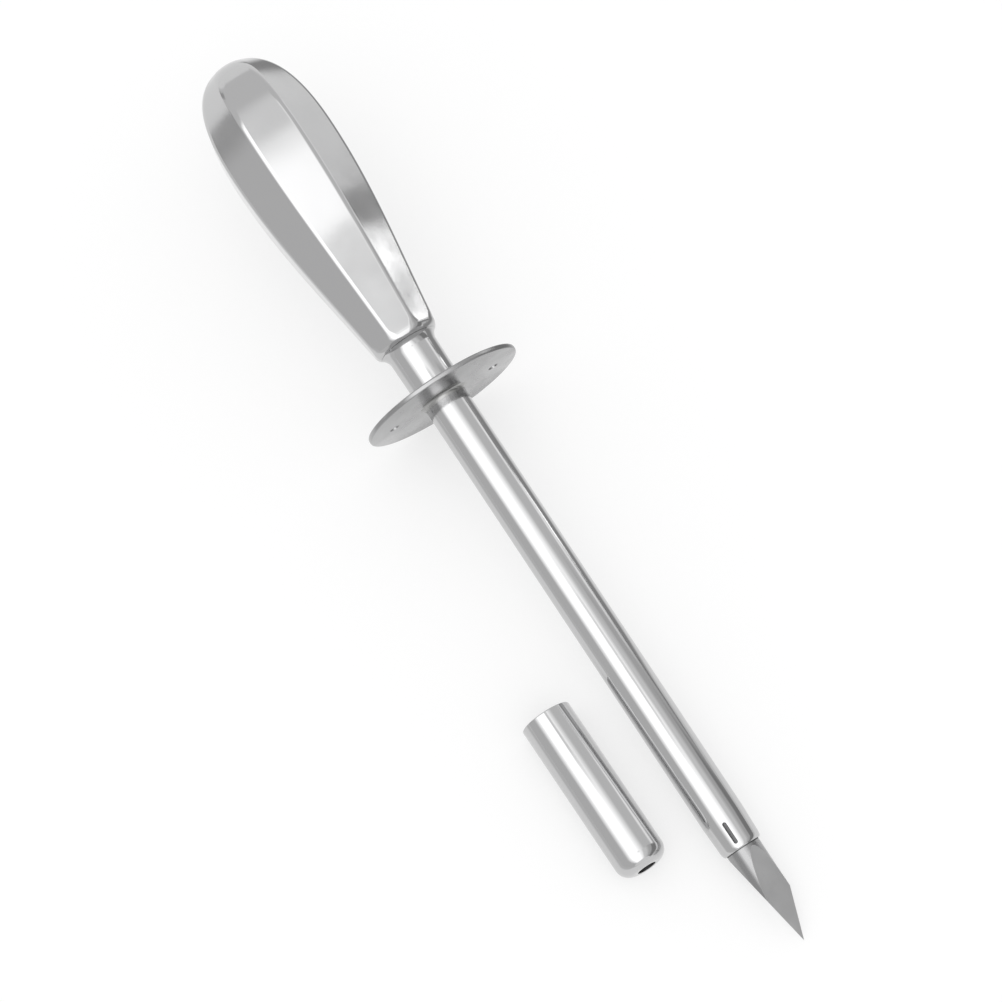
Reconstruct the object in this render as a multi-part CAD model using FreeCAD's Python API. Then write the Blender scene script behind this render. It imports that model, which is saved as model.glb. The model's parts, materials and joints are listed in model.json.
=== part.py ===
import FreeCAD, Part
import math
import os

os.makedirs("parts", exist_ok=True)

# Trocar and cannula with a hollow steel handle, and the protective cap that lies beside it.
# Millimetres, +Z up. The tool is drawn straight along its own axis: x = 0 is the front face of
# the flange and +x runs to the point. It is then laid down as it rests on a table, on the rim
# of the flange and on the shoulder of its point.

# Cannula: 12.7 mm tube, 150 mm over all with the flange; the steps are on the radius
CANNULA_LENGTH = 150.0
CANNULA_WALL = 1.25
CANNULA_TAPER_LENGTH = 9.5
CANNULA_TAPER_STEP = 0.3
CANNULA_LIP_LENGTH = 1.3
CANNULA_LIP_STEP = 0.45
CANNULA_LIP_FULLNESS = 0.72
CANNULA_SEAT_STEP = 0.35

# Narrow slit in the top of the tube, just behind its end
SLIT_LENGTH = 6.6
SLIT_WIDTH = 1.2
SLIT_TO_END = 1.5
SLIT_ANGLE = -13.2

# Flange plate and the brazed joint around the tube
FLANGE_DIAMETER = 48.0
FLANGE_THICKNESS = 1.5
FLANGE_EDGE_BEVEL = 0.4
FLANGE_HOLE_DIAMETER = 2.5
FLANGE_HOLE_CIRCLE = 32.4
BRAZE_LEG = 1.3
BRAZE_HOLLOW = 0.4

# Rod and its three-sided point
ROD_DIAMETER = 10.0
POINT_TIP_X = 178.2
POINT_GROUND_LENGTH = 28.6
POINT_ANGLE = 82.9
ROD_TAIL_X = -42.0
ROD_TAIL_BEVEL = 0.6

# Neck between the handle and the flange
NECK_REAR_DIAMETER = 15.5
NECK_FRONT_DIAMETER = 14.3
NECK_COVE_LENGTH = 3.0
NECK_COVE_DEPTH = 0.42
NECK_COVE_MIDDLE = (0.35, 0.72)
NECK_SPIGOT_DIAMETER = 12.0
NECK_SPIGOT_LENGTH = 3.2
NECK_EDGE_BEVEL = 0.3

# Handle: an octagon that swells towards the butt, pressed in two halves
HANDLE_BUTT_X = -114.0
HANDLE_SWELL_X = -83.0
HANDLE_SWELL_FLATS = 32.7
HANDLE_MOUTH_X = -20.5
HANDLE_MOUTH_FLATS = 19.7
HANDLE_MOUTH_SLOPE = -0.125
HANDLE_LIP_RADIUS = 3.0
HANDLE_LIP_SWEEP = 70.0
HANDLE_EDGE_RADIUS = 2.2
HANDLE_WALL = 1.2
HANDLE_MOUTH_WALL = 3.3
HANDLE_TURN = -2.5
HANDLE_SIDES = 8

# Run of the handle's outline, as shares of the length or half width that each one belongs to,
# and how its edges melt into the dome of the butt and into the round lip
BUTT_BLUNTNESS = 0.70
BUTT_FULLNESS = 0.62
GRIP_HOLD = 0.36
GRIP_EASE = 0.34
BUTT_ROUNDNESS = 0.9
BUTT_MELT = 1.3
LIP_ROUNDNESS = 0.92
LIP_MELT = 1.5

# Sections that each stretch of the handle is drawn through
BUTT_STATIONS = 8
GRIP_STATIONS = 6
LIP_STATIONS = 4

# Plug inside the mouth of the handle, and the disc that steadies the tail of the rod
PLUG_LENGTH = 10.0
TAIL_DISC_THICKNESS = 2.0
TAIL_DISC_INSET = 1.5

# Cap: drawn tube of 15 mm, closed at one end
CAP_LENGTH = 50.0
CAP_WALL = 1.05
CAP_END_WALL = 1.6
CAP_CORNER_RADIUS = 4.0
CAP_CORNER_STEPS = 6
CAP_INNER_BEVEL = 2.0
CAP_RIM_BEVEL = 0.3
CAP_VENT_DIAMETER = 5.6
CAP_CENTRE_X = 113.1
CAP_CENTRE_Y = -24.7

# Clearances on the radius
ROD_IN_CANNULA = 0.1
ROD_IN_NECK = 0.1
SPIGOT_IN_MOUTH = 0.1
CAP_ON_CANNULA = 0.1
BRAZE_GAP = 0.05

X = FreeCAD.Vector(1, 0, 0)
Y = FreeCAD.Vector(0, 1, 0)
Z = FreeCAD.Vector(0, 0, 1)
ORIGIN = FreeCAD.Vector(0, 0, 0)

# Sizes that follow from the ones above
ROD_R = ROD_DIAMETER / 2
BORE_R = ROD_R + ROD_IN_CANNULA
TUBE_R = BORE_R + CANNULA_WALL
SEAT_R = TUBE_R - CANNULA_SEAT_STEP
TUBE_BACK_X = -FLANGE_THICKNESS
TUBE_END_X = TUBE_BACK_X + CANNULA_LENGTH
FLANGE_R = FLANGE_DIAMETER / 2
CAP_BORE_R = TUBE_R + CAP_ON_CANNULA
CAP_R = CAP_BORE_R + CAP_WALL
LIP_SWEEP = math.radians(HANDLE_LIP_SWEEP)
HANDLE_END_X = HANDLE_MOUTH_X + HANDLE_LIP_RADIUS * math.sin(LIP_SWEEP)

# Side of the blocks that divide a shape, more than the whole tool reaches
BLOCK = 2 * CANNULA_LENGTH


def vec(x, r):
    """A point of a turned profile: x along the axis, r out from it."""
    return FreeCAD.Vector(x, 0, r)


def line(a, b):
    return Part.makeLine(a, b)


def rounding(centre, radius, start, end, steps):
    """Points along an arc in the profile plane; angles in degrees from +x towards +r."""
    points = []
    for i in range(steps + 1):
        t = math.radians(start + (end - start) * i / steps)
        points.append(centre + FreeCAD.Vector(radius * math.cos(t), 0, radius * math.sin(t)))
    return points


def turned(edges):
    """Solid of revolution about the x axis from the edges of a closed profile."""
    wire = Part.Wire(Part.__sortEdges__(edges))
    return Part.Face(wire).revolve(ORIGIN, X, 360)


def outline(points):
    """Straight edges through the points and back to the first."""
    return [line(a, b) for a, b in zip(points, points[1:] + points[:1])]


def about_axis(shape, degrees):
    """Copy turned about the tool's axis; positive goes from the top towards +y."""
    copy = shape.copy()
    copy.rotate(ORIGIN, X, -degrees)
    return copy


def cylinder(radius, x0, x1):
    return Part.makeCylinder(radius, x1 - x0, FreeCAD.Vector(x0, 0, 0), X)


def cannula_tube():
    """Tube turned down for its seat, with a drawn-in end, a rounded lip and the narrow slit."""
    taper_x = TUBE_END_X - CANNULA_TAPER_LENGTH
    lip_x = TUBE_END_X - CANNULA_LIP_LENGTH
    end_r = TUBE_R - CANNULA_TAPER_STEP
    lip_r = end_r - CANNULA_LIP_STEP
    back = vec(TUBE_BACK_X, SEAT_R)
    seat = vec(BRAZE_LEG, SEAT_R)
    shoulder = vec(BRAZE_LEG, TUBE_R)
    taper = vec(taper_x, TUBE_R)
    lip = vec(lip_x, end_r)
    nose = vec(TUBE_END_X, lip_r)
    share = CANNULA_LIP_FULLNESS
    swell = vec(lip_x + share * CANNULA_LIP_LENGTH, lip_r + share * CANNULA_LIP_STEP)
    edges = [
        line(back, seat),
        line(seat, shoulder),
        line(shoulder, taper),
        line(taper, lip),
        Part.Arc(lip, swell, nose).toShape(),
        line(nose, vec(TUBE_END_X, BORE_R)),
        line(vec(TUBE_END_X, BORE_R), vec(TUBE_BACK_X, BORE_R)),
        line(vec(TUBE_BACK_X, BORE_R), back),
    ]
    tube = turned(edges)
    slit_x = TUBE_END_X - SLIT_TO_END - SLIT_LENGTH
    half = SLIT_WIDTH / 2
    straight = SLIT_LENGTH - SLIT_WIDTH
    slit = Part.makeBox(straight, SLIT_WIDTH, TUBE_R, FreeCAD.Vector(slit_x + half, -half, ROD_R / 2))
    for x in (slit_x + half, slit_x + half + straight):
        slit = slit.fuse(Part.makeCylinder(half, TUBE_R, FreeCAD.Vector(x, 0, ROD_R / 2), Z))
    return tube.cut(about_axis(slit.removeSplitter(), SLIT_ANGLE))


def flange_plate():
    """Round plate on the tube, with bevelled rims and two small holes level with the axis."""
    plate = cylinder(FLANGE_R, -FLANGE_THICKNESS, 0)
    rims = [e for e in plate.Edges if e.BoundBox.XLength < 0.01]
    plate = plate.makeChamfer(FLANGE_EDGE_BEVEL, rims)
    plate = plate.cut(cylinder(SEAT_R, -FLANGE_THICKNESS - 1, 1))
    hole = cylinder(FLANGE_HOLE_DIAMETER / 2, -FLANGE_THICKNESS - 1, 1)
    for side in (-1, 1):
        placed = hole.copy()
        placed.translate(Y * (side * FLANGE_HOLE_CIRCLE / 2))
        plate = plate.cut(placed)
    return plate


def flange_braze():
    """Fillet of braze in the corner between the tube and the front of the flange."""
    corner = vec(0, SEAT_R)
    along = vec(BRAZE_LEG, SEAT_R)
    end = vec(BRAZE_LEG, TUBE_R)
    hollow = vec(BRAZE_HOLLOW, TUBE_R + BRAZE_HOLLOW)
    out = vec(0, TUBE_R + BRAZE_LEG)
    return turned(outline([corner, along, end, hollow, out]))


def rod():
    """Round rod, ground to three flats that meet in a point."""
    body = cylinder(ROD_R, ROD_TAIL_X, POINT_TIP_X)
    start = vec(POINT_TIP_X - POINT_GROUND_LENGTH, ROD_R)
    rise = ROD_R / POINT_GROUND_LENGTH
    lead = ROD_R
    points = [
        vec(start.x - lead, ROD_R + lead * rise),
        vec(POINT_TIP_X + lead, -lead * rise),
        vec(POINT_TIP_X + lead, 2 * ROD_R),
        vec(start.x - lead, 2 * ROD_R),
    ]
    wedge = Part.Face(Part.makePolygon(points + points[:1])).extrude(Y * (4 * ROD_R))
    wedge.translate(Y * (-2 * ROD_R))
    for k in range(3):
        body = body.cut(about_axis(wedge, POINT_ANGLE + 60 + 120 * k))
    tail = [e for e in body.Edges if e.BoundBox.XMax < ROD_TAIL_X + 0.01]
    return body.makeChamfer(ROD_TAIL_BEVEL, tail)


def neck_ferrule():
    """Turned neck: a slight taper to the flange, a cove at the handle and a spigot inside it."""
    rear = NECK_REAR_DIAMETER / 2
    front = NECK_FRONT_DIAMETER / 2
    bore = ROD_R + ROD_IN_NECK
    spigot = NECK_SPIGOT_DIAMETER / 2
    spigot_x = HANDLE_END_X - NECK_SPIGOT_LENGTH
    along, down = NECK_COVE_MIDDLE
    bevel = NECK_EDGE_BEVEL
    front_x = TUBE_BACK_X
    corners = [
        vec(HANDLE_END_X, rear),
        vec(HANDLE_END_X + along * NECK_COVE_LENGTH, rear - down * NECK_COVE_DEPTH),
        vec(HANDLE_END_X + NECK_COVE_LENGTH, rear - NECK_COVE_DEPTH),
        vec(front_x - bevel, front),
        vec(front_x, front - bevel),
        vec(front_x, bore),
        vec(spigot_x, bore),
        vec(spigot_x, spigot),
        vec(HANDLE_END_X, spigot),
    ]
    return turned(outline(corners))


def octagon(x, apothem, radius):
    """Closed wire square to the axis: flats joined by tangent arcs."""
    half = math.pi / HANDLE_SIDES
    reach = (apothem - radius) / math.cos(half)
    edges = []
    for k in range(HANDLE_SIDES):
        corner = (2 * k + 1) * half
        following = corner + 2 * half
        ends = []
        for angle in (corner - half, corner, corner + half):
            y = reach * math.sin(corner) + radius * math.sin(angle)
            z = reach * math.cos(corner) + radius * math.cos(angle)
            ends.append(FreeCAD.Vector(x, y, z))
        edges.append(Part.Arc(*ends).toShape())
        y = reach * math.sin(following) + radius * math.sin(corner + half)
        z = reach * math.cos(following) + radius * math.cos(corner + half)
        edges.append(line(ends[2], FreeCAD.Vector(x, y, z)))
    return Part.Wire(edges)


def sharp_octagon(x, apothem):
    """Closed wire square to the axis, its corners left sharp."""
    half = math.pi / HANDLE_SIDES
    reach = apothem / math.cos(half)
    points = []
    for k in range(HANDLE_SIDES):
        angle = (2 * k + 1) * half
        points.append(FreeCAD.Vector(x, reach * math.sin(angle), reach * math.cos(angle)))
    return Part.makePolygon(points + points[:1])


def bezier(*points):
    curve = Part.BezierCurve()
    curve.setPoles([vec(x, r) for x, r in points])
    return curve


def handle_profile(wall):
    """Stations along the handle, inside its outer face by the wall: x, apothem and edge radius.

    The edges are softened by the same small radius up to the swell, and melt into the round
    dome of the butt behind it.
    """
    swell = HANDLE_SWELL_FLATS / 2
    mouth = HANDLE_MOUTH_FLATS / 2
    dome = HANDLE_SWELL_X - HANDLE_BUTT_X
    grip = HANDLE_MOUTH_X - HANDLE_SWELL_X
    ease = GRIP_EASE * grip
    butt = bezier(
        (HANDLE_BUTT_X, 0),
        (HANDLE_BUTT_X, BUTT_BLUNTNESS * swell),
        (HANDLE_SWELL_X - BUTT_FULLNESS * dome, swell),
        (HANDLE_SWELL_X, swell),
    )
    body = bezier(
        (HANDLE_SWELL_X, swell),
        (HANDLE_SWELL_X + GRIP_HOLD * grip, swell),
        (HANDLE_MOUTH_X - ease, mouth - ease * HANDLE_MOUTH_SLOPE),
        (HANDLE_MOUTH_X, mouth),
    )
    places = [(butt, (i + 0.5) / BUTT_STATIONS) for i in range(BUTT_STATIONS)]
    places += [(body, i / GRIP_STATIONS) for i in range(GRIP_STATIONS + 1)]
    stations = []
    for curve, t in places:
        p = curve.value(t)
        tangent = curve.tangent(t)[0]
        x = p.x + wall * tangent.z
        a = p.z - wall * tangent.x
        roundest = BUTT_ROUNDNESS * a
        blend = max(0.0, 1 - p.z / swell) if curve is butt else 0.0
        radius = HANDLE_EDGE_RADIUS + (roundest - HANDLE_EDGE_RADIUS) * blend ** BUTT_MELT
        stations.append((x, a, min(radius, roundest)))
    return stations


def handle_outside():
    """Solid envelope of the handle, with the rounded lip at its mouth."""
    stations = handle_profile(0)
    x0, mouth, edge = stations[-1]
    for i in range(1, LIP_STATIONS + 1):
        t = LIP_SWEEP * i / LIP_STATIONS
        a = mouth - HANDLE_LIP_RADIUS * (1 - math.cos(t))
        radius = edge + (LIP_ROUNDNESS * a - edge) * (i / LIP_STATIONS) ** LIP_MELT
        stations.append((x0 + HANDLE_LIP_RADIUS * math.sin(t), a, radius))
    return Part.makeLoft([octagon(*s) for s in stations], True, True)


def slab(shape, x0, x1):
    """What lies of a shape between two planes square to the axis."""
    box = Part.makeBox(x1 - x0, 2 * BLOCK, 2 * BLOCK, FreeCAD.Vector(x0, -BLOCK, -BLOCK))
    return shape.common(box)


def handle_inside(gap=0.0):
    """Cavity of the handle with sharp inner corners, up to the thick wall around its mouth."""
    stations = [s for s in handle_profile(HANDLE_WALL + gap) if s[1] > 2 * HANDLE_WALL]
    body = Part.makeLoft([sharp_octagon(x, a) for x, a, _ in stations], True, True)
    end = HANDLE_END_X - HANDLE_MOUTH_WALL
    return slab(body, end - BLOCK, end)


def handle_shells():
    """Upper and lower halves of the handle, parted along the middle of the side flats."""
    mouth_r = NECK_SPIGOT_DIAMETER / 2 + SPIGOT_IN_MOUTH
    mouth = cylinder(mouth_r, HANDLE_END_X - 2 * HANDLE_MOUTH_WALL, 0)
    hollow = handle_outside().cut(handle_inside()).cut(mouth)
    halves = []
    for z in (0, -BLOCK):
        box = Part.makeBox(BLOCK, 2 * BLOCK, BLOCK, FreeCAD.Vector(-BLOCK, -BLOCK, z))
        halves.append(hollow.common(box))
    return halves


def handle_plug():
    """Eight-sided plug brazed into the mouth of the handle; the rod is pressed into it."""
    front = HANDLE_END_X - HANDLE_MOUTH_WALL
    plug = slab(handle_inside(BRAZE_GAP), front - PLUG_LENGTH, front)
    return plug.cut(cylinder(ROD_R, front - 2 * PLUG_LENGTH, 0))


def tail_disc():
    """Disc across the handle that steadies the tail of the rod."""
    x = ROD_TAIL_X + TAIL_DISC_INSET
    disc = slab(handle_inside(BRAZE_GAP), x, x + TAIL_DISC_THICKNESS)
    return disc.cut(cylinder(ROD_R, x - TAIL_DISC_THICKNESS, x + 2 * TAIL_DISC_THICKNESS))


def cap():
    """Protective cap: open at the back, rounded and vented at the closed end."""
    corner = CAP_CORNER_RADIUS
    floor_x = CAP_LENGTH - CAP_END_WALL
    vent = CAP_VENT_DIAMETER / 2
    rounded = rounding(vec(CAP_LENGTH - corner, CAP_R - corner), corner, 90, 0, CAP_CORNER_STEPS)
    inside = [
        vec(CAP_LENGTH, vent),
        vec(floor_x, vent),
        vec(floor_x, CAP_BORE_R - CAP_INNER_BEVEL),
        vec(floor_x - CAP_INNER_BEVEL, CAP_BORE_R),
        vec(0, CAP_BORE_R),
        vec(0, CAP_R - CAP_RIM_BEVEL),
        vec(CAP_RIM_BEVEL, CAP_R),
    ]
    return turned(outline(rounded + inside))


def lowest(shapes, tilt):
    """Lowest height of the shapes once they are tipped nose down by so many degrees."""
    heights = []
    for shape in shapes:
        copy = shape.copy()
        copy.rotate(ORIGIN, Y, tilt)
        heights.append(copy.optimalBoundingBox(False).ZMin)
    return min(heights)


def rest_tilt(rim, nose):
    """Tilt at which the rim of the flange and the nose of the tool touch the table together."""
    level, steep = 0.0, 20.0
    for _ in range(30):
        tilt = (level + steep) / 2
        if lowest([rim], tilt) < lowest(nose, tilt):
            level = tilt
        else:
            steep = tilt
    return tilt


upper_shell, lower_shell = handle_shells()
tool = {
    "cannula_tube": cannula_tube(),
    "flange_plate": flange_plate(),
    "flange_braze_fillet": flange_braze(),
    "neck_ferrule": neck_ferrule(),
    "handle_shell_upper": about_axis(upper_shell, HANDLE_TURN),
    "handle_shell_lower": about_axis(lower_shell, HANDLE_TURN),
    "handle_mouth_plug": about_axis(handle_plug(), HANDLE_TURN),
    "rod_tail_disc": about_axis(tail_disc(), HANDLE_TURN),
    "trocar_rod": rod(),
}
nose = [tool["cannula_tube"], tool["trocar_rod"]]
tilt = rest_tilt(tool["flange_plate"], nose)
lift = -lowest(nose, tilt)
nodes = {}
for name, shape in tool.items():
    nodes[name] = shape.copy()
    nodes[name].rotate(ORIGIN, Y, tilt)
    nodes[name].translate(Z * lift)
nodes["protective_cap"] = cap()
nodes["protective_cap"].translate(FreeCAD.Vector(CAP_CENTRE_X - CAP_LENGTH / 2, CAP_CENTRE_Y, CAP_R))

# The origin lies on the table, under the middle of everything
extent = FreeCAD.BoundBox()
for shape in nodes.values():
    extent.add(shape.optimalBoundingBox(False))
middle = FreeCAD.Vector(extent.Center.x, extent.Center.y, 0)

for name, shape in nodes.items():
    solid = shape.Solids[0]
    solid.translate(-middle)
    solid.exportStep(os.path.join("parts", name + ".step"))
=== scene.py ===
import bmesh
import bpy
import json
import math
from mathutils import Matrix, Quaternion, Vector


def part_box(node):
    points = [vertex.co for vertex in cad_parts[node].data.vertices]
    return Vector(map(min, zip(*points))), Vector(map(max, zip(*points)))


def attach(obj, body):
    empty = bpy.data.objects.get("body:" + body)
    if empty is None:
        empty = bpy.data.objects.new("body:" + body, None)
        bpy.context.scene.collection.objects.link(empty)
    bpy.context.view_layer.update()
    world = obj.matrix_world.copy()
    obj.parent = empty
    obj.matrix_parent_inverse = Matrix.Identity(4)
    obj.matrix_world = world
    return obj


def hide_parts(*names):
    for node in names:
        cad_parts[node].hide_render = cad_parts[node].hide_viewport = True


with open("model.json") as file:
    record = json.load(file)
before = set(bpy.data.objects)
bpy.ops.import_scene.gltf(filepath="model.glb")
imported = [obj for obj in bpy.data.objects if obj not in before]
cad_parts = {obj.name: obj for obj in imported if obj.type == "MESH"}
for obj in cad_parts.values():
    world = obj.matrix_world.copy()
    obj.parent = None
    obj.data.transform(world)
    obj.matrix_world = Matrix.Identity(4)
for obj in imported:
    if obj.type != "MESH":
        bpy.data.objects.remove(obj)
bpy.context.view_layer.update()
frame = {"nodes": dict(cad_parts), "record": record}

# Metres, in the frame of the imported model. Tool pieces are drawn straight along +x, with x = 0 on
# the front face of the flange, and then laid down as the tool rests on the table.
MM = 0.001
MOUNTS = {mount["name"]: mount for mount in frame["record"]["mounts"]}
FLANGE_CENTRE = Vector(MOUNTS["flange_suture_holes"]["pos_m"])
AXIS = Vector(MOUNTS["flange_suture_holes"]["axis"])
TOOL_TILT = math.atan2(-AXIS.z, AXIS.x)
LAID_DOWN = Matrix.Translation(FLANGE_CENTRE) @ Matrix.Rotation(TOOL_TILT, 4, "Y")

# Cannula
TUBE_R = 6.35
SEAT_R = 6.0
BORE_R = 5.1
TUBE_BACK = -1.5
TUBE_END = 148.5
TAPER_START = 139.0
END_R = 6.05
LIP_R = 5.6
LIP_LENGTH = 1.3
LIP_SHOULDER = 0.24
LIP_DRAWN_IN = 0.1
SLIT_CUT_DEPTH = 8
SLIT_CUT_LEVEL = 6.6
SLIT_LENGTH = 6.6
SLIT_WIDTH = 1.2
SLIT_CENTRE = TUBE_END - 1.5 - SLIT_LENGTH / 2
SLIT_ANGLE = math.radians(-13.2)

# Flange
FLANGE_R = 24.0
FLANGE_THICKNESS = 1.5
FLANGE_EDGE = 0.5
HOLE_R = 1.25
HOLE_BEVEL = 0.25
HOLE_BEVEL_DEPTH = 0.6
HOLE_CIRCLE_R = 16.2
BRAZE_LEG = 1.3
BRAZE_STEPS = 8

# Rod
ROD_R = 5.0
ROD_TAIL = -42.0
SHANK_END = TUBE_END + 0.3
TIP = 178.2
GROUND_LENGTH = 28.6
POINT_ANGLE = math.radians(82.9)

# Neck
NECK_FRONT_R = 7.15
NECK_BORE_R = 5.1
COVE_TOP_R = 8.72
COVE_FOOT_R = 7.36
COVE_LENGTH = 1.06
COVE_ROUNDNESS = 3.5
NECK_TAPER_START = 3.5
NECK_TAPER_R = 7.33
SPIGOT_R = 6.0
SPIGOT_BACK = -20.88

# Handle
BUTT = -114.0
SWELL_X = -83.0
SWELL_FLAT = 16.35
MOUTH_X = -20.5
MOUTH_FLAT = 9.85
MOUTH_SLOPE = -0.125
BUTT_BLUNTNESS = 0.70
BUTT_FULLNESS = 0.62
BUTT_STEPS = 36
GRIP_HOLD = 0.36
GRIP_EASE = 0.34
GRIP_STEPS = 40
MOUTH_LIP = 3.0
LIP_STEPS = 12
LIP_MELT = 1.5
BUTT_MELT = 1.3
ROUNDNESS_MOST = 0.9
LIP_ROUNDNESS = 0.92
FLAT_END_ROUNDNESS = 0.5
LIP_SWEEP = math.radians(52)
FLAT_RUNOUT = 3.0
HANDLE_END = MOUTH_X + MOUTH_LIP * math.sin(LIP_SWEEP)
EDGE_R = 2.2
WALL = 1.2
MOUTH_BORE_R = 6.1
HANDLE_TURN = math.radians(-2.5)
SIDES = 8
CORNER_STEPS = 8
CROWN_CUTS = 5
CROWN = 0.026

# Cap
CAP_R = 7.5
CAP_BORE_R = 6.45
CAP_LENGTH = 50.0
CAP_END_WALL = 1.6
CAP_CORNER = 4.0
CAP_INNER_CORNER = 2.6
VENT_R = 2.8
CAP_LOW, CAP_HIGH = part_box("protective_cap")
CAP_OPEN_END = Vector((CAP_LOW.x, (CAP_LOW.y + CAP_HIGH.y) / 2, (CAP_LOW.z + CAP_HIGH.z) / 2))

# Camera, at the photograph's viewing angle
CAMERA_PLACE = Vector((0.259215, -0.109584, 0.901318))
CAMERA_AIM = Vector((0.001062, 0.001426, 0.02))
CAMERA_ROLL = math.radians(-10.113)
LENS = 120.739


def made(bm, name, body, stands_for, place=LAID_DOWN, sharp=28, outward=True):
    """Object from a bmesh drawn in millimetres, put in its place, with creases kept sharp."""
    bmesh.ops.remove_doubles(bm, verts=bm.verts[:], dist=0.0005)
    bm.transform(place @ Matrix.Scale(MM, 4))
    if outward:
        bmesh.ops.recalc_face_normals(bm, faces=bm.faces[:])
    crease(bm, sharp)
    mesh = bpy.data.meshes.new(name)
    bm.to_mesh(mesh)
    bm.free()
    piece = bpy.data.objects.new(name, mesh)
    bpy.context.scene.collection.objects.link(piece)
    if body:
        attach(piece, body)
        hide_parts(*stands_for)
    return piece


def whole(bm):
    return bm.verts[:] + bm.edges[:] + bm.faces[:]


def crease(bm, degrees):
    for face in bm.faces:
        face.smooth = True
    for edge in bm.edges:
        edge.smooth = len(edge.link_faces) == 2 and edge.calc_face_angle(0.0) < math.radians(degrees)


def turned(profile, segments=128):
    """Piece turned about the x axis from a closed profile of (x, radius, corner radius)."""
    bm = bmesh.new()
    corners = [bm.verts.new((x, 0, r)) for x, r, _ in profile]
    for a, b in zip(corners, corners[1:] + corners[:1]):
        bm.edges.new((a, b))
    for vert, (_, _, radius) in zip(corners, profile):
        if radius:
            ends = [edge.other_vert(vert).co - vert.co for edge in vert.link_edges]
            half = ends[0].angle(ends[1]) / 2
            bmesh.ops.bevel(bm, geom=[vert], offset=radius / math.tan(half), offset_type="OFFSET",
                            affect="VERTICES", segments=max(3, int(radius * 6)), profile=0.5, material=-1)
    bmesh.ops.spin(bm, geom=bm.verts[:] + bm.edges[:], cent=(0, 0, 0), axis=(1, 0, 0),
                   angle=math.tau, steps=segments, use_merge=True, use_duplicate=False)
    return bm


def carve(piece, cutter, sharp=28):
    """Cuts one mesh out of another and keeps the result as the piece's own mesh."""
    cut = piece.modifiers.new("cut", "BOOLEAN")
    cut.object = cutter
    cut.operation = "DIFFERENCE"
    cut.solver = "EXACT"
    bpy.context.view_layer.update()
    result = bpy.data.meshes.new_from_object(piece.evaluated_get(bpy.context.evaluated_depsgraph_get()))
    piece.modifiers.clear()
    piece.data = result
    bpy.data.objects.remove(cutter)
    bm = bmesh.new()
    bm.from_mesh(result)
    crease(bm, sharp)
    bm.to_mesh(result)
    bm.free()


def along_axis(angle):
    """Turn about the tool's axis; positive goes from the top towards +y."""
    return Matrix.Rotation(-angle, 4, "X")


def make_cannula_tube():
    bm = turned([
        (TUBE_BACK, SEAT_R, 0),
        (BRAZE_LEG, SEAT_R, 0),
        (BRAZE_LEG, TUBE_R, 0),
        (TAPER_START, TUBE_R, 0),
        (TUBE_END - LIP_LENGTH, END_R, 0),
        (TUBE_END - 0.32 * LIP_LENGTH, LIP_R + LIP_SHOULDER, 0),
        (TUBE_END, LIP_R - LIP_DRAWN_IN, 0),
        (TUBE_END, BORE_R, 0.12),
        (TUBE_BACK, BORE_R, 0),
    ])
    tube = made(bm, "cannula_tube_polished", "cannula", ["cannula_tube"])
    bm = bmesh.new()
    bmesh.ops.create_cone(bm, cap_ends=True, segments=32, radius1=SLIT_WIDTH / 2, radius2=SLIT_WIDTH / 2,
                          depth=SLIT_CUT_DEPTH)
    far = [v for v in bm.verts if v.co.x > 1e-6]
    near_end = SLIT_CENTRE - (SLIT_LENGTH - SLIT_WIDTH) / 2
    bmesh.ops.translate(bm, verts=bm.verts[:], vec=(near_end, 0, SLIT_CUT_LEVEL))
    bmesh.ops.translate(bm, verts=far, vec=(SLIT_LENGTH - SLIT_WIDTH, 0, 0))
    bm.transform(along_axis(SLIT_ANGLE))
    carve(tube, made(bm, "slit_cutter", None, []))
    return tube


def make_flange():
    bm = turned([
        (-FLANGE_THICKNESS, SEAT_R, 0),
        (-FLANGE_THICKNESS, FLANGE_R, FLANGE_EDGE),
        (0, FLANGE_R, FLANGE_EDGE),
        (0, SEAT_R, 0),
    ], 192)
    flange = made(bm, "flange_plate_satin", "cannula", ["flange_plate"])
    wide = HOLE_R + HOLE_BEVEL
    for side in (-1, 1):
        bm = turned([
            (1, 0, 0),
            (1, wide, 0),
            (0, wide, 0),
            (-HOLE_BEVEL_DEPTH, HOLE_R, 0),
            (HOLE_BEVEL_DEPTH - FLANGE_THICKNESS, HOLE_R, 0),
            (-FLANGE_THICKNESS, wide, 0),
            (-FLANGE_THICKNESS - 1, wide, 0),
            (-FLANGE_THICKNESS - 1, 0, 0),
        ], 48)
        bm.transform(Matrix.Translation((0, side * HOLE_CIRCLE_R, 0)))
        carve(flange, made(bm, "hole_cutter", None, []))
    return flange


def make_braze():
    bm = bmesh.new()
    arc = [bm.verts.new((0, 0, TUBE_R + BRAZE_LEG))]
    for i in range(1, BRAZE_STEPS + 1):
        t = math.pi + math.pi / 2 * i / BRAZE_STEPS
        x = BRAZE_LEG * (1 + math.cos(t))
        arc.append(bm.verts.new((x, 0, TUBE_R + BRAZE_LEG * (1 + math.sin(t)))))
    arc.append(bm.verts.new((BRAZE_LEG, 0, SEAT_R)))
    arc.append(bm.verts.new((0, 0, SEAT_R)))
    for a, b in zip(arc, arc[1:] + arc[:1]):
        bm.edges.new((a, b))
    bmesh.ops.spin(bm, geom=bm.verts[:] + bm.edges[:], cent=(0, 0, 0), axis=(1, 0, 0),
                   angle=math.tau, steps=128, use_merge=True, use_duplicate=False)
    return made(bm, "flange_braze_fillet_polished", "cannula", ["flange_braze_fillet"], sharp=50)


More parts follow.
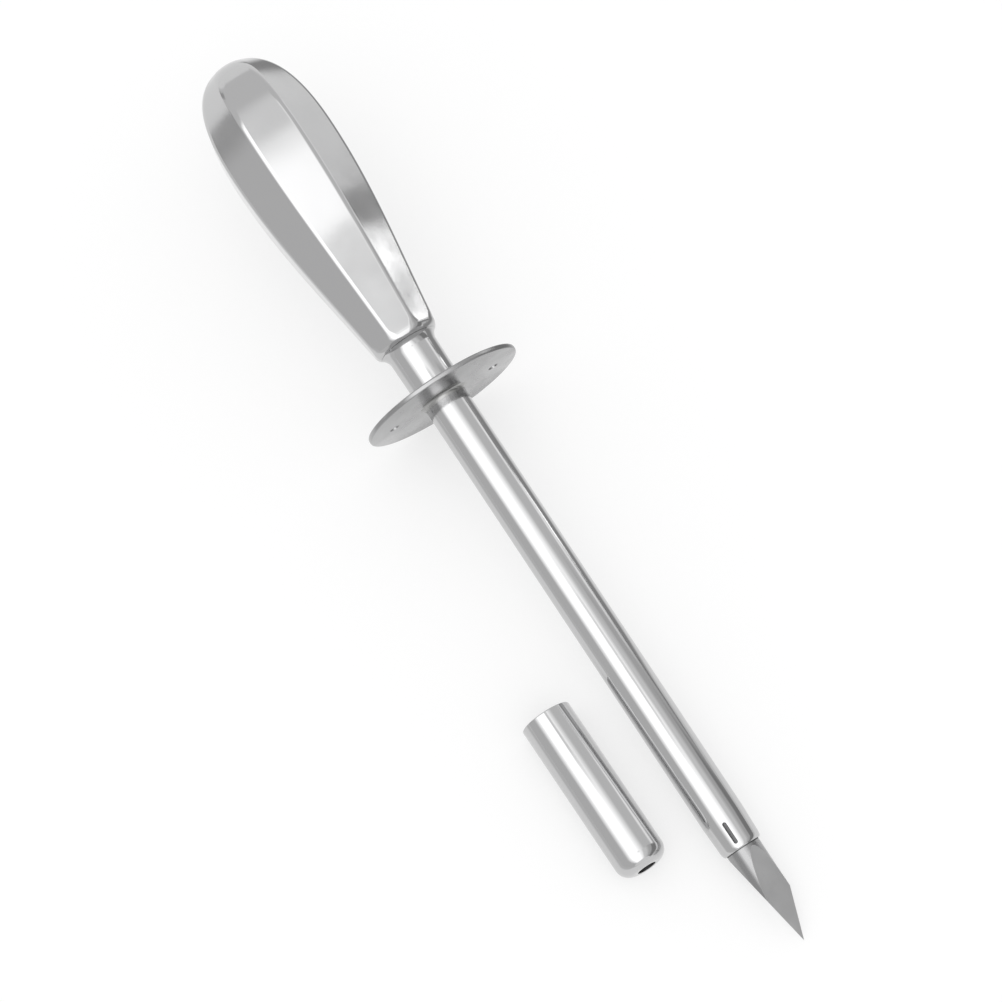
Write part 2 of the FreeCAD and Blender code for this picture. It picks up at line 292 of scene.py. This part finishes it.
def make_neck():
    bm = turned([
        (HANDLE_END, COVE_TOP_R, 0),
        (HANDLE_END + COVE_LENGTH, COVE_FOOT_R, COVE_ROUNDNESS),
        (HANDLE_END + NECK_TAPER_START, NECK_TAPER_R, 0),
        (TUBE_BACK, NECK_FRONT_R, 0.3),
        (TUBE_BACK, NECK_BORE_R, 0),
        (SPIGOT_BACK, NECK_BORE_R, 0),
        (SPIGOT_BACK, SPIGOT_R, 0),
        (HANDLE_END, SPIGOT_R, 0),
    ])
    return made(bm, "neck_ferrule_polished", "neck", ["neck_ferrule"])


def make_rod():
    """Round rod, ground to three flats that meet in the point."""
    bm = bmesh.new()
    length = TIP - ROD_TAIL
    bmesh.ops.create_cone(bm, cap_ends=True, segments=192, radius1=ROD_R, radius2=ROD_R, depth=length)
    bm.transform(Matrix.Translation((ROD_TAIL + length / 2, 0, 0)) @ Matrix.Rotation(math.pi / 2, 4, "Y"))
    slope = math.atan2(ROD_R, GROUND_LENGTH)
    for k in range(3):
        turn = along_axis(POINT_ANGLE + math.radians(60 + 120 * k))
        normal = turn.to_3x3() @ Vector((math.sin(slope), 0, math.cos(slope)))
        cut = bmesh.ops.bisect_plane(bm, geom=whole(bm), plane_co=(TIP, 0, 0), plane_no=normal, dist=1e-5,
                                     clear_outer=True)
        open_edges = [e for e in cut["geom_cut"] if isinstance(e, bmesh.types.BMEdge)]
        bmesh.ops.edgenet_fill(bm, edges=open_edges)
    bmesh.ops.bisect_plane(bm, geom=whole(bm), plane_co=(SHANK_END, 0, 0), plane_no=(1, 0, 0), dist=1e-5)
    return made(bm, "trocar_rod_ground", "trocar", ["trocar_rod"], sharp=3.0)


def crown_flats(verts, half_width):
    """Flats of a ring are left highest in their middle, as hand polishing leaves them."""
    turn = math.tau / SIDES
    for vert in verts:
        angle = math.atan2(vert.co.y, vert.co.x)
        off = math.sin(angle - turn * round(angle / turn)) * vert.co.length
        fall = CROWN * half_width * min(abs(off) / half_width, 1) ** 2
        vert.co *= 1 - fall / vert.co.length


def octagon_ring(bm, x, flat, radius):
    """Closed ring square to the axis: an octagon with rounded corners."""
    half = math.pi / SIDES
    before = len(bm.verts)
    ring = bmesh.ops.create_circle(bm, segments=SIDES, radius=flat / math.cos(half))["verts"]
    bmesh.ops.rotate(bm, verts=ring, cent=(0, 0, 0), matrix=Matrix.Rotation(half, 3, "Z"))
    edges = list({e for v in ring for e in v.link_edges})
    bmesh.ops.bevel(bm, geom=ring, offset=radius * math.tan(half), offset_type="OFFSET",
                    affect="VERTICES", segments=CORNER_STEPS, profile=0.5, material=-1)
    bmesh.ops.subdivide_edges(bm, edges=[e for e in edges if e.is_valid], cuts=CROWN_CUTS)
    verts = list(bm.verts)[before:]
    crown_flats(verts, (flat - radius) * math.tan(half))
    stand = Matrix.Translation((x, 0, 0)) @ Matrix.Rotation(math.pi / 2, 4, "Y")
    bmesh.ops.transform(bm, verts=verts, matrix=stand)
    return list({e for v in verts for e in v.link_edges})


def bezier(points, t):
    a, b, c, d = (Vector(p) for p in points)
    s = 1 - t
    return a * s ** 3 + b * 3 * s * s * t + c * 3 * s * t * t + d * t ** 3


def handle_stations():
    """Stations of the outer face from the butt to the mouth: x, flat and corner radius."""
    dome = SWELL_X - BUTT
    grip = MOUTH_X - SWELL_X
    ease = GRIP_EASE * grip
    butt = [(BUTT, 0), (BUTT, BUTT_BLUNTNESS * SWELL_FLAT), (SWELL_X - BUTT_FULLNESS * dome, SWELL_FLAT),
            (SWELL_X, SWELL_FLAT)]
    body = [(SWELL_X, SWELL_FLAT), (SWELL_X + GRIP_HOLD * grip, SWELL_FLAT),
            (MOUTH_X - ease, MOUTH_FLAT - ease * MOUTH_SLOPE), (MOUTH_X, MOUTH_FLAT)]
    stations = []
    for curve, steps in ((butt, BUTT_STEPS), (body, GRIP_STEPS)):
        for i in range(1 if curve is body else 0, steps + 1):
            t = i / steps if curve is body else 0.02 + 0.98 * i / steps
            place = bezier(curve, t)
            flat = place.y
            blend = max(0.0, 1 - place.y / SWELL_FLAT) if curve is butt else 0.0
            radius = EDGE_R + (ROUNDNESS_MOST * flat - EDGE_R) * blend ** BUTT_MELT
            near = max(0.0, 1 - (MOUTH_X - place.x) / FLAT_RUNOUT)
            radius += (FLAT_END_ROUNDNESS * flat - radius) * near ** 3
            if flat > 0.3:
                stations.append((place.x, flat, min(max(radius, 0.4), ROUNDNESS_MOST * flat)))
    return stations


def make_handle():
    """Hollow octagon in two halves, parted along the middle of the side flats."""
    outside = handle_stations()
    x0, flat0, edge0 = outside[-1]
    for i in range(1, LIP_STEPS + 1):
        t = LIP_SWEEP * i / LIP_STEPS
        flat = flat0 - MOUTH_LIP * (1 - math.cos(t))
        radius = edge0 + (LIP_ROUNDNESS * flat - edge0) * (i / LIP_STEPS) ** LIP_MELT
        outside.append((x0 + MOUTH_LIP * math.sin(t), flat, radius))
    bm = bmesh.new()
    rings = [octagon_ring(bm, *station) for station in outside]
    for near, far in zip(rings, rings[1:]):
        bmesh.ops.bridge_loops(bm, edges=near + far)
    bmesh.ops.edgeloop_fill(bm, edges=rings[0])
    around = SIDES * (CORNER_STEPS + CROWN_CUTS + 1)
    mouth = bmesh.ops.create_circle(bm, segments=around, radius=MOUTH_BORE_R)["verts"]
    turn = Matrix.Rotation(math.pi / 2, 4, "Y")
    bmesh.ops.transform(bm, verts=mouth, matrix=Matrix.Translation((HANDLE_END, 0, 0)) @ turn)
    loop = list({e for v in mouth for e in v.link_edges})
    bmesh.ops.bridge_loops(bm, edges=rings[-1] + loop)
    inner = bmesh.ops.extrude_edge_only(bm, edges=loop)["geom"]
    deep = [v for v in inner if isinstance(v, bmesh.types.BMVert)]
    bmesh.ops.translate(bm, verts=deep, vec=(SPIGOT_BACK - HANDLE_END, 0, 0))
    bm.transform(along_axis(HANDLE_TURN))
    bmesh.ops.recalc_face_normals(bm, faces=bm.faces[:])
    halves = []
    for name, node, side in (("upper", "handle_shell_upper", 1), ("lower", "handle_shell_lower", -1)):
        half = bm.copy()
        parting = along_axis(HANDLE_TURN).to_3x3() @ Vector((0, 0, -side))
        bmesh.ops.bisect_plane(half, geom=whole(half), plane_co=(0, 0, 0), plane_no=parting, dist=1e-5,
                               clear_outer=True)
        full_name = "handle_shell_" + name + "_polished"
        piece = made(half, full_name, "trocar", [node], sharp=40, outward=False)
        thick = piece.modifiers.new("wall", "SOLIDIFY")
        thick.thickness = WALL * MM
        thick.offset = -1
        even = piece.modifiers.new("flats", "WEIGHTED_NORMAL")
        even.keep_sharp = True
        halves.append(piece)
    bm.free()
    return halves


def make_cap():
    bm = turned([
        (0, CAP_BORE_R, 0.12),
        (0, CAP_R, 0.35),
        (CAP_LENGTH, CAP_R, CAP_CORNER),
        (CAP_LENGTH, VENT_R, 0.15),
        (CAP_LENGTH - CAP_END_WALL, VENT_R, 0),
        (CAP_LENGTH - CAP_END_WALL, CAP_BORE_R, CAP_INNER_CORNER),
    ])
    return made(bm, "protective_cap_polished", "cap", ["protective_cap"], Matrix.Translation(CAP_OPEN_END))


# Materials

def node(tree, kind, inputs=None, **settings):
    new = tree.nodes.new(kind)
    for key, value in settings.items():
        setattr(new, key, value)
    for key, value in (inputs or {}).items():
        if isinstance(value, bpy.types.NodeSocket):
            tree.links.new(value, new.inputs[key])
        else:
            new.inputs[key].default_value = value
    return new


def polish_group():
    """Fine polishing lines, soft smudges and a slow hand-polished waviness."""
    tree = bpy.data.node_groups.new("hand_polish", "ShaderNodeTree")
    face = tree.interface
    face.new_socket("Vector", in_out="INPUT", socket_type="NodeSocketVector")
    face.new_socket("Lines", in_out="INPUT", socket_type="NodeSocketFloat")
    face.new_socket("Waviness", in_out="INPUT", socket_type="NodeSocketFloat")
    face.new_socket("Roughness", in_out="INPUT", socket_type="NodeSocketFloat")
    face.new_socket("Roughness", in_out="OUTPUT", socket_type="NodeSocketFloat")
    face.new_socket("Normal", in_out="OUTPUT", socket_type="NodeSocketVector")
    take = node(tree, "NodeGroupInput")
    give = node(tree, "NodeGroupOutput")
    place = take.outputs["Vector"]
    stretch = node(tree, "ShaderNodeMapping", {"Vector": place, "Scale": (60, 4000, 4000)})
    lines = node(tree, "ShaderNodeTexNoise", {"Vector": stretch.outputs[0], "Scale": 1.0, "Detail": 3.0})
    smudge = node(tree, "ShaderNodeTexNoise", {"Vector": place, "Scale": 90.0, "Detail": 4.0})
    slow = node(tree, "ShaderNodeTexNoise", {"Vector": place, "Scale": 55.0, "Detail": 1.0})
    spread = node(tree, "ShaderNodeMapRange", {"Value": smudge.outputs[0], "From Min": 0.35, "From Max": 0.75,
                                               "To Min": 0.8, "To Max": 1.7})
    rough = node(tree, "ShaderNodeMath", {0: spread.outputs[0], 1: take.outputs["Roughness"]},
                 operation="MULTIPLY")
    first = node(tree, "ShaderNodeBump", {"Height": slow.outputs[0], "Strength": take.outputs["Waviness"],
                                          "Distance": 0.001})
    second = node(tree, "ShaderNodeBump", {"Height": lines.outputs[0], "Strength": take.outputs["Lines"],
                                           "Distance": 0.00002, "Normal": first.outputs[0]})
    tree.links.new(rough.outputs[0], give.inputs["Roughness"])
    tree.links.new(second.outputs[0], give.inputs["Normal"])
    return tree


POLISH = polish_group()


def steel(name, colour, roughness, lines, waviness, tilt=True):
    """Bare steel, finished along the piece."""
    material = bpy.data.materials.new(name)
    material.use_nodes = True
    tree = material.node_tree
    shader = tree.nodes["Principled BSDF"]
    place = node(tree, "ShaderNodeTexCoord")
    turn = node(tree, "ShaderNodeMapping", {"Vector": place.outputs["Object"],
                                            "Rotation": (0, -TOOL_TILT if tilt else 0, 0)})
    polish = node(tree, "ShaderNodeGroup", node_tree=POLISH)
    tree.links.new(turn.outputs[0], polish.inputs["Vector"])
    polish.inputs["Lines"].default_value = lines
    polish.inputs["Waviness"].default_value = waviness
    polish.inputs["Roughness"].default_value = roughness
    shader.inputs["Base Color"].default_value = (*colour, 1)
    shader.inputs["Metallic"].default_value = 1.0
    tree.links.new(polish.outputs["Roughness"], shader.inputs["Roughness"])
    tree.links.new(polish.outputs["Normal"], shader.inputs["Normal"])
    return material


MIRROR_TUBE = steel("mirror_polished_tube", (0.55, 0.55, 0.553), 0.075, 0.35, 0.05)
MIRROR_HANDLE = steel("mirror_polished_handle", (0.55, 0.55, 0.553), 0.09, 0.30, 0.12)
MIRROR_CAP = steel("mirror_polished_cap", (0.55, 0.55, 0.553), 0.075, 0.35, 0.05, tilt=False)
SATIN_PLATE = steel("satin_flange_steel", (0.37, 0.37, 0.373), 0.20, 0.12, 0.02)
BRAZE = steel("silver_braze", (0.36, 0.36, 0.355), 0.24, 0.3, 0.5)
BRUSHED_BACK = steel("brushed_back_of_the_flange", (0.60, 0.60, 0.603), 0.38, 0.5, 0.03)
GROUND_POINT = steel("ground_point_steel", (0.55, 0.55, 0.553), 0.30, 0.4, 0.03)
# Darker copy of the point's steel for its round part: painted shade that tones down its reflections.
ROUND_POINT = steel("round_part_of_the_point_painted_shade", (0.34, 0.34, 0.343), 0.22, 0.4, 0.03)
# Near-black shank inside the tube: painted shade, so that the slit in the cannula reads dark.
SHANK_PAINTED_SHADE = steel("shank_painted_shade", (0.13, 0.13, 0.132), 0.45, 0.4, 0.0)
# Near-black inside of the cap: painted shade that keeps the bore and the vent dark.
CAP_INSIDE_PAINTED_SHADE = steel("inside_of_the_cap_painted_shade", (0.07, 0.07, 0.072), 0.5, 0.5, 0.0, tilt=False)
HIDDEN_STEEL = steel("turned_inner_steel", (0.45, 0.45, 0.455), 0.3, 0.6, 0.0)


def wear(piece, material):
    piece.data.materials.clear()
    piece.data.materials.append(material)


def line_inside(piece, material, centre, bore):
    """Gives the faces of the cap's bore and of its vent a second material, a near-black painted shade."""
    piece.data.materials.append(material)
    floor = (CAP_LENGTH - CAP_END_WALL) * MM
    for face in piece.data.polygons:
        out = face.center - centre
        away = math.hypot(out.y, out.z)
        if away < bore * 1.005 and out.x < floor + 0.00001 or away < VENT_R * MM * 1.01:
            face.material_index = 1


def finish_the_rod(rod, round_part, shank):
    """Ground flats keep the first material; the round part gets a darker copy of the steel as painted shade,
    and the shank in the tube a near-black one as painted shade for the slit.
    """
    rod.data.materials.append(round_part)
    rod.data.materials.append(shank)
    end = LAID_DOWN @ Vector((SHANK_END * MM, 0, 0))
    for face in rod.data.polygons:
        # The shank inside the tube takes the near-black painted shade.
        if (face.center - end).dot(AXIS) < 0:
            face.material_index = 2
        elif face.normal.dot(AXIS) < 0.05:
            face.material_index = 1


def finish_the_plate(plate, back):
    """The back of the flange gets a second material."""
    plate.data.materials.append(back)
    for face in plate.data.polygons:
        if face.normal.dot(AXIS) < -0.9:
            face.material_index = 1


wear(make_cannula_tube(), MIRROR_TUBE)
flange_plate = make_flange()
wear(flange_plate, SATIN_PLATE)
finish_the_plate(flange_plate, BRUSHED_BACK)
wear(make_braze(), BRAZE)
wear(make_neck(), MIRROR_TUBE)
trocar_rod = make_rod()
wear(trocar_rod, GROUND_POINT)
finish_the_rod(trocar_rod, ROUND_POINT, SHANK_PAINTED_SHADE)
for shell in make_handle():
    wear(shell, MIRROR_HANDLE)
protective_cap = make_cap()
wear(protective_cap, MIRROR_CAP)
line_inside(protective_cap, CAP_INSIDE_PAINTED_SHADE, CAP_OPEN_END, CAP_BORE_R * MM)
for name in ("handle_mouth_plug", "rod_tail_disc"):
    inner = frame["nodes"][name]
    inner.data.materials.clear()
    inner.data.materials.append(HIDDEN_STEEL)


# Table, tent and lights

def plain_object(name, bm):
    mesh = bpy.data.meshes.new(name)
    bm.to_mesh(mesh)
    bm.free()
    thing = bpy.data.objects.new(name, mesh)
    bpy.context.scene.collection.objects.link(thing)
    return thing


def soft_step(tree, value, low, high):
    """0 below low, 1 above high, with a smooth ramp between."""
    step = node(tree, "ShaderNodeMapRange", {"Value": value, "From Min": low, "From Max": high},
                interpolation_type="SMOOTHSTEP")
    return step.outputs[0]


def window(tree, value, start, end, blur):
    """1 between start and end, falling to 0 over the blur outside them."""
    rise = soft_step(tree, value, start - blur, start)
    fall = soft_step(tree, value, end, end + blur)
    return node(tree, "ShaderNodeMath", {0: rise, 1: fall}, operation="SUBTRACT").outputs[0]


def toned(tree, level, brightness, first, second):
    """The level, changed to the brightness where both masks are 1."""
    mask = node(tree, "ShaderNodeMath", {0: first, 1: second}, operation="MULTIPLY")
    mix = node(tree, "ShaderNodeMix", {0: mask.outputs[0], 2: level, 3: brightness}, data_type="FLOAT")
    return mix.outputs[0]


# Brightness of the tent's cloth by degrees over the tool, from the table on the -y side (-90) to the
# one on the +y side (90): grey walls, a soft light bank high on the -y side that fades over the top,
# and a slightly lighter low edge on the +y side
WALL_GREY = 0.69
FAR_WALL_GREY = 0.78
LOW_EDGE_GREY = 0.95
LIGHT_BANK = 2.0
TENT_CLOTH = [(-95, WALL_GREY), (-55, WALL_GREY), (-35, LIGHT_BANK), (-4, LIGHT_BANK),
              (31, FAR_WALL_GREY), (62, FAR_WALL_GREY), (75, LOW_EDGE_GREY), (95, LOW_EDGE_GREY)]

# Cards that hang in the tent: brightness, then start, end and blur in degrees over the tool, then the
# same in metres along the tent
TENT_CARDS = [
    (0.77, (-95, 50, 3), (-9, -0.64, 0.08)),
    (1.00, (-1, 7, 2), (-0.60, -0.40, 0.22)),
    (1.12, (-2, 6, 2), (0.06, 0.13, 0.06)),
    (0.50, (-95, -70, 3), (-0.85, -0.62, 0.15)),
    (0.45, (-95, -55, 5), (-1.80, -1.45, 0.10)),
    (0.92, (22, 34, 8), (0.07, 9, 0.05)),
    (0.60, (50, 95, 10), (0.00, 9, 0.06)),
    (0.30, (66, 90, 6), (0.09, 9, 0.06)),
    (1.30, (71, 77, 2), (-0.60, -0.05, 0.05)),
    (0.38, (82, 96, 3), (-0.240, -0.178, 0.010)),
    (2.20, (83, 92, 2), (-0.160, -0.120, 0.008)),
    (0.30, (84, 96, 2), (-0.108, 0.030, 0.008)),
]

# Table: its white, the share of it that glows by itself, and its half width
TABLE_WHITE = 0.93
TABLE_GLOW = 0.6
TABLE_HALF = 6.0

# Tent: radius, half length, steps round its arc and gap over the table
TENT_RADIUS = 1.1
TENT_HALF = 2.4
TENT_STEPS = 96
TENT_GAP = 0.002

# Painted shade on the table that only the steel's reflections see, on its far sides and in one dark
# patch: what is left of the white, then start, end and blur in metres along X and along Y
TABLE_PAINTED_SHADE = [
    (0.72, (-0.13, 9, 0.08), (-9, -0.085, 0.035)),
    (0.80, (0.05, 9, 0.08), (0.08, 9, 0.04)),
    (0.36, (-0.26, 0.04, 0.02), (0.07, 1.05, 0.04)),
]


def make_table():
    """White table that keeps a light shadow; the steel sees painted shade on its far parts and in one dark
    patch.
    """
    bm = bmesh.new()
    bmesh.ops.create_grid(bm, x_segments=1, y_segments=1, size=TABLE_HALF)
    table = plain_object("table", bm)
    material = bpy.data.materials.new("pale_table")
    material.use_nodes = True
    tree = material.node_tree
    shader = tree.nodes["Principled BSDF"]
    output = tree.nodes["Material Output"]
    place = node(tree, "ShaderNodeTexCoord")
    split = node(tree, "ShaderNodeSeparateXYZ", {"Vector": place.outputs["Object"]})
    level = 1.0
    for left, along_span, across_span in TABLE_PAINTED_SHADE:
        level = toned(tree, level, left, window(tree, split.outputs["X"], *along_span),
                      window(tree, split.outputs["Y"], *across_span))
    # Glossy rays see the table with its painted shade; camera and other rays see it plain.
    ray = node(tree, "ShaderNodeLightPath")
    seen = node(tree, "ShaderNodeMix", {0: ray.outputs["Is Glossy Ray"], 2: 1.0, 3: level},
                data_type="FLOAT")
    white = node(tree, "ShaderNodeMath", {0: seen.outputs[0], 1: TABLE_WHITE}, operation="MULTIPLY")
    tree.links.new(white.outputs[0], shader.inputs["Base Color"])
    shader.inputs["Roughness"].default_value = 0.9
    shader.inputs["Specular IOR Level"].default_value = 0.1
    glow = node(tree, "ShaderNodeEmission", {"Color": (1, 1, 1, 1), "Strength": seen.outputs[0]})
    direct = ray.outputs["Is Camera Ray"]
    for kind in ("Is Glossy Ray", "Is Transmission Ray"):
        either = node(tree, "ShaderNodeMath", {0: direct, 1: ray.outputs[kind]}, operation="MAXIMUM")
        direct = either.outputs[0]
    share = node(tree, "ShaderNodeMath", {0: direct, 1: TABLE_GLOW}, operation="MULTIPLY")
    mix = node(tree, "ShaderNodeMixShader",
               {0: share.outputs[0], 1: shader.outputs[0], 2: glow.outputs[0]})
    tree.links.new(mix.outputs[0], output.inputs["Surface"])
    table.data.materials.append(material)
    return table


def cloth_brightness(tree, over):
    low, high = TENT_CLOTH[0][0], TENT_CLOTH[-1][0]
    place = node(tree, "ShaderNodeMapRange", {"Value": over, "From Min": low, "From Max": high})
    ramp = node(tree, "ShaderNodeValToRGB", {"Fac": place.outputs[0]})
    brightest = max(value for _, value in TENT_CLOTH)
    stops = ramp.color_ramp.elements
    for degrees, _ in TENT_CLOTH[1:-1]:
        stops.new((degrees - low) / (high - low))
    for stop, (_, value) in zip(stops, TENT_CLOTH):
        stop.color = (value / brightest, value / brightest, value / brightest, 1)
    scaled = node(tree, "ShaderNodeMath", {0: ramp.outputs[0], 1: brightest}, operation="MULTIPLY")
    return scaled.outputs[0]


def make_tent():
    """Half-round light tent along the tool, seen only in the steel."""
    bm = bmesh.new()
    arc = []
    for i in range(TENT_STEPS + 1):
        t = math.pi * i / TENT_STEPS
        height = TENT_RADIUS * math.sin(t) + TENT_GAP
        arc.append(bm.verts.new((-TENT_HALF, TENT_RADIUS * math.cos(t), height)))
    edges = [bm.edges.new(pair) for pair in zip(arc, arc[1:])]
    wide = bmesh.ops.extrude_edge_only(bm, edges=edges)["geom"]
    far = [v for v in wide if isinstance(v, bmesh.types.BMVert)]
    bmesh.ops.translate(bm, verts=far, vec=(2 * TENT_HALF, 0, 0))
    tent = plain_object("light_tent", bm)
    material = bpy.data.materials.new("tent_cloth")
    material.use_nodes = True
    tree = material.node_tree
    tree.nodes.clear()
    place = node(tree, "ShaderNodeTexCoord")
    split = node(tree, "ShaderNodeSeparateXYZ", {"Vector": place.outputs["Object"]})
    turn = node(tree, "ShaderNodeMath", {0: split.outputs["Y"], 1: split.outputs["Z"]}, operation="ARCTAN2")
    over = node(tree, "ShaderNodeMath", {0: turn.outputs[0]}, operation="DEGREES").outputs[0]
    along = split.outputs["X"]
    level = cloth_brightness(tree, over)
    for brightness, arc_span, along_span in TENT_CARDS:
        level = toned(tree, level, brightness, window(tree, over, *arc_span),
                      window(tree, along, *along_span))
    glow = node(tree, "ShaderNodeEmission", {"Color": (1, 1, 1, 1), "Strength": level})
    node(tree, "ShaderNodeOutputMaterial", {"Surface": glow.outputs[0]})
    tent.data.materials.append(material)
    tent.visible_camera = False
    tent.visible_diffuse = False
    tent.visible_shadow = False
    tent.visible_transmission = False
    return tent


make_table()
make_tent()

world = bpy.data.worlds.new("studio")
bpy.context.scene.world = world
world.use_nodes = True
world.node_tree.nodes["Background"].inputs["Color"].default_value = (1, 1, 1, 1)
world.node_tree.nodes["Background"].inputs["Strength"].default_value = 1.0


def soft_light(name, place, size, power):
    data = bpy.data.lights.new(name, "AREA")
    data.shape = "DISK"
    data.size = size
    data.energy = power
    light = bpy.data.objects.new(name, data)
    light.location = place
    light.rotation_mode = "QUATERNION"
    light.rotation_quaternion = (-Vector(place)).to_track_quat("-Z", "Y")
    light.visible_glossy = False
    bpy.context.scene.collection.objects.link(light)


soft_light("overhead_softbox", (0.1, -0.3, 1.4), 1.6, 3.0)

camera_data = bpy.data.cameras.new("photo_camera")
camera_data.lens = LENS
camera_data.sensor_width = 36
camera_data.clip_start = 0.01
camera = bpy.data.objects.new("photo_camera", camera_data)
camera.location = CAMERA_PLACE
camera.rotation_mode = "QUATERNION"
look = (CAMERA_AIM - CAMERA_PLACE).to_track_quat("-Z", "Y")
camera.rotation_quaternion = look @ Quaternion((0, 0, 1), CAMERA_ROLL)
bpy.context.scene.collection.objects.link(camera)
bpy.context.scene.camera = camera

bpy.context.scene.view_settings.view_transform = "Standard"
